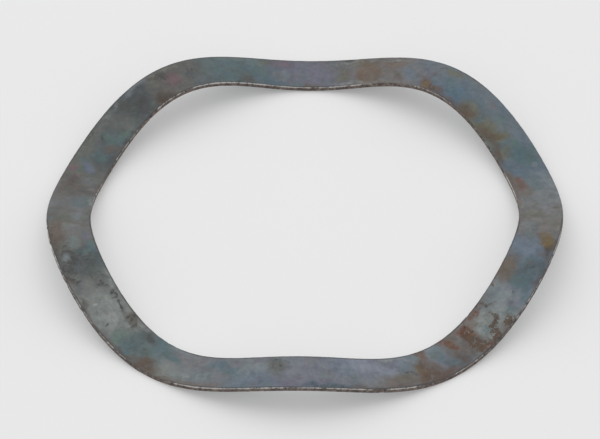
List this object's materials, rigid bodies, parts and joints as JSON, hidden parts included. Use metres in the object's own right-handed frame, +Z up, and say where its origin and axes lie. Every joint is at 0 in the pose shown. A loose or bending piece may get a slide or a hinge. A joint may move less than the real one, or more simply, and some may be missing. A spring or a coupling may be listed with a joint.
{
  "type": "wave spring washer",
  "caption": "Closed ring of thin strip steel formed into even waves, a flat spring that preloads a bearing in its housing.",
  "frame": {"origin": "on the ring's axis, at the height of the surface that the washer lies on", "axes": "+Z up along the ring's axis, +Y towards the lowest trough of the waves, +X to the right of it"},
  "size_m": [0.0516, 0.0516, 0.004],
  "materials": {
    "blued_steel": "satin"
  },
  "bodies": {
    "root": {"spring_washer": "blued_steel"}
  },
  "joints": []
}
